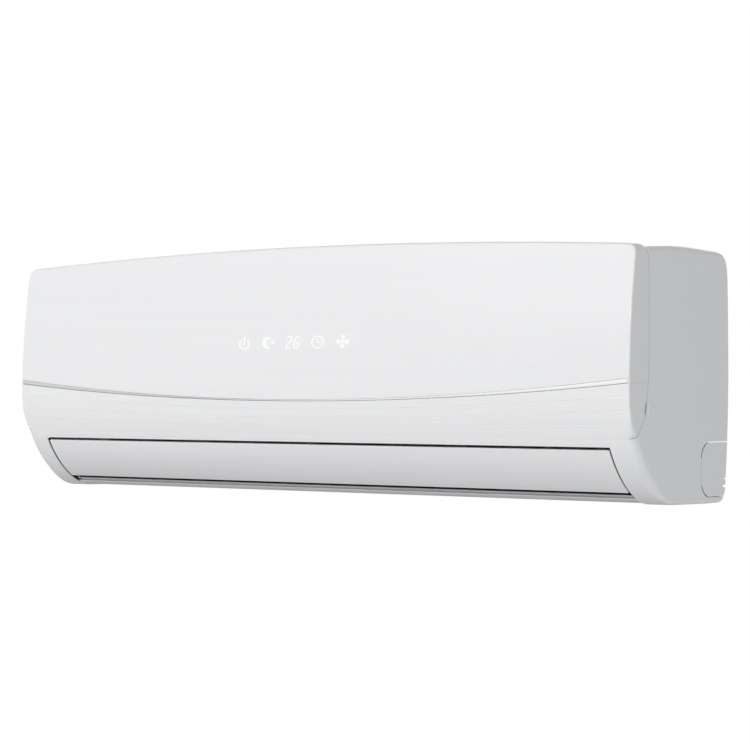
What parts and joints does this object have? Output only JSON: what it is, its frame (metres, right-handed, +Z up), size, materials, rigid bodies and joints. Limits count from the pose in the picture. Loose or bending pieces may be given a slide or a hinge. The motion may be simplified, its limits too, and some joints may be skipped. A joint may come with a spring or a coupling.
{
  "type": "mini split indoor unit",
  "caption": "Wall-hung air conditioner indoor unit: arched hinged front panel, louver flap, rounded end caps, top grille, with coil, fan, vanes, pan and controls inside.",
  "frame": {"origin": "centre of the wall plate's rear face, the plane that lies on the wall, half-way up the case", "axes": "+X along the unit towards its control side (right as seen from the room), +Y into the wall, +Z up"},
  "size_m": [0.9, 0.2093, 0.2885],
  "materials": {
    "panel_plastic": "satin white moulding",
    "accent_plastic": "glossy silver strip",
    "case_plastic": "fine matt white moulding",
    "flap_plastic": "satin white moulding",
    "light_guide": "milky clear moulding",
    "circuit_board": "green lacquered board",
    "grey_plastic": "plain moulded",
    "vane_plastic": "plain moulded",
    "chassis_plastic": "plain moulded",
    "fan_plastic": "glass-filled moulding",
    "dark_rubber": "soft",
    "filter_mesh": "fine mesh in a frame",
    "zinc_steel": "zinc plated",
    "galvanised_steel": "galvanised sheet",
    "fin_aluminium": "fine fins",
    "copper_tube": "drawn copper",
    "brass_nut": "turned brass"
  },
  "bodies": {
    "unit": {"front_case": "case_plastic", "intake_frame": "case_plastic", "pipe_cover_right": "case_plastic", "pipe_cover_left": "case_plastic", "bottom_cover": "case_plastic", "case_screw_left": "zinc_steel", "case_screw_centre": "zinc_steel", "case_screw_right": "zinc_steel", "screw_cap_left": "case_plastic", "screw_cap_centre": "case_plastic", "screw_cap_right": "case_plastic", "flap_bracket": "grey_plastic", "flap_motor": "zinc_steel", "rear_chassis": "chassis_plastic", "mounting_plate": "galvanised_steel", "drain_pan": "chassis_plastic", "drain_plug": "dark_rubber", "evaporator_front_lower": "fin_aluminium", "evaporator_front_upper": "fin_aluminium", "evaporator_rear": "fin_aluminium", "coil_end_left": "copper_tube", "coil_end_right": "copper_tube", "suction_pipe": "copper_tube", "liquid_pipe": "copper_tube", "suction_flare_nut": "brass_nut", "liquid_flare_nut": "brass_nut", "fan_motor": "zinc_steel", "motor_clamp": "grey_plastic", "fan_bearing": "dark_rubber", "vane_rail": "grey_plastic", "vane_motor": "zinc_steel", "air_filter_left": "filter_mesh", "air_filter_right": "filter_mesh", "control_box": "grey_plastic", "control_box_cover": "grey_plastic", "control_board": "circuit_board", "terminal_block": "grey_plastic", "button_board": "circuit_board", "room_sensor": "dark_rubber"},
    "front_panel": {"front_panel_upper": "panel_plastic", "front_panel_lower": "panel_plastic", "accent_trim": "accent_plastic", "display_light_guide": "light_guide", "display_board": "circuit_board"},
    "flap": {"louver_flap": "flap_plastic"},
    "fan_wheel": {"crossflow_fan": "fan_plastic", "motor_shaft": "zinc_steel"},
    "crank": {"vane_crank": "grey_plastic"},
    "link": {"vane_link_bar": "grey_plastic"},
    "button": {"manual_button": "case_plastic"},
    "vane_01": {"vertical_vane_01": "vane_plastic"},
    "vane_02": {"vertical_vane_02": "vane_plastic"},
    "vane_03": {"vertical_vane_03": "vane_plastic"},
    "vane_04": {"vertical_vane_04": "vane_plastic"},
    "vane_05": {"vertical_vane_05": "vane_plastic"},
    "vane_06": {"vertical_vane_06": "vane_plastic"},
    "vane_07": {"vertical_vane_07": "vane_plastic"},
    "vane_08": {"vertical_vane_08": "vane_plastic"},
    "vane_09": {"vertical_vane_09": "vane_plastic"},
    "vane_10": {"vertical_vane_10": "vane_plastic"}
  },
  "joints": [
    {"name": "panel_hinge", "type": "hinge", "parent": "unit", "child": "front_panel", "pos_m": [0, -0.1725, 0.133], "axis": [-1, 0, 0], "range_deg": [0, 60]},
    {"name": "flap_hinge", "type": "hinge", "parent": "unit", "child": "flap", "pos_m": [0, -0.147, -0.1095], "axis": [1, 0, 0], "range_deg": [0, 75]},
    {"name": "fan_spin", "type": "hinge", "parent": "unit", "child": "fan_wheel", "pos_m": [0, -0.089, -0.0155], "axis": [1, 0, 0], "continuous": true},
    {"name": "vane_crank_turn", "type": "hinge", "parent": "unit", "child": "crank", "pos_m": [0.392, -0.121, -0.0825], "axis": [0, -0.5707, 0.8211], "range_deg": [-35, 35]},
    {"name": "link_turn", "type": "hinge", "parent": "crank", "child": "link", "pos_m": [0.392, -0.11573, -0.11111], "axis": [0, -0.5707, 0.8211], "range_deg": [-35, 35]},
    {"name": "button_press", "type": "slide", "parent": "unit", "child": "button", "axis": [0, 1, 0], "range_m": [0, 0.0015], "stiffness_N_per_m": 300},
    {"name": "vane_turn_01", "type": "hinge", "parent": "unit", "child": "vane_01", "pos_m": [-0.372, -0.121, -0.0825], "axis": [0, -0.5707, 0.8211], "range_deg": [-35, 35]},
    {"name": "vane_turn_02", "type": "hinge", "parent": "unit", "child": "vane_02", "pos_m": [-0.294, -0.121, -0.0825], "axis": [0, -0.5707, 0.8211], "range_deg": [-35, 35]},
    {"name": "vane_turn_03", "type": "hinge", "parent": "unit", "child": "vane_03", "pos_m": [-0.216, -0.121, -0.0825], "axis": [0, -0.5707, 0.8211], "range_deg": [-35, 35]},
    {"name": "vane_turn_04", "type": "hinge", "parent": "unit", "child": "vane_04", "pos_m": [-0.138, -0.121, -0.0825], "axis": [0, -0.5707, 0.8211], "range_deg": [-35, 35]},
    {"name": "vane_turn_05", "type": "hinge", "parent": "unit", "child": "vane_05", "pos_m": [-0.06, -0.121, -0.0825], "axis": [0, -0.5707, 0.8211], "range_deg": [-35, 35]},
    {"name": "vane_turn_06", "type": "hinge", "parent": "unit", "child": "vane_06", "pos_m": [0.018, -0.121, -0.0825], "axis": [0, -0.5707, 0.8211], "range_deg": [-35, 35]},
    {"name": "vane_turn_07", "type": "hinge", "parent": "unit", "child": "vane_07", "pos_m": [0.096, -0.121, -0.0825], "axis": [0, -0.5707, 0.8211], "range_deg": [-35, 35]},
    {"name": "vane_turn_08", "type": "hinge", "parent": "unit", "child": "vane_08", "pos_m": [0.174, -0.121, -0.0825], "axis": [0, -0.5707, 0.8211], "range_deg": [-35, 35]},
    {"name": "vane_turn_09", "type": "hinge", "parent": "unit", "child": "vane_09", "pos_m": [0.252, -0.121, -0.0825], "axis": [0, -0.5707, 0.8211], "range_deg": [-35, 35]},
    {"name": "vane_turn_10", "type": "hinge", "parent": "unit", "child": "vane_10", "pos_m": [0.33, -0.121, -0.0825], "axis": [0, -0.5707, 0.8211], "range_deg": [-35, 35]}
  ],
  "couplings": [
    {"joint": "vane_turn_01", "follows": "vane_crank_turn", "ratio": 1},
    {"joint": "vane_turn_02", "follows": "vane_crank_turn", "ratio": 1},
    {"joint": "vane_turn_03", "follows": "vane_crank_turn", "ratio": 1},
    {"joint": "vane_turn_04", "follows": "vane_crank_turn", "ratio": 1},
    {"joint": "vane_turn_05", "follows": "vane_crank_turn", "ratio": 1},
    {"joint": "vane_turn_06", "follows": "vane_crank_turn", "ratio": 1},
    {"joint": "vane_turn_07", "follows": "vane_crank_turn", "ratio": 1},
    {"joint": "vane_turn_08", "follows": "vane_crank_turn", "ratio": 1},
    {"joint": "vane_turn_09", "follows": "vane_crank_turn", "ratio": 1},
    {"joint": "vane_turn_10", "follows": "vane_crank_turn", "ratio": 1},
    {"joint": "link_turn", "follows": "vane_crank_turn", "ratio": -1}
  ]
}
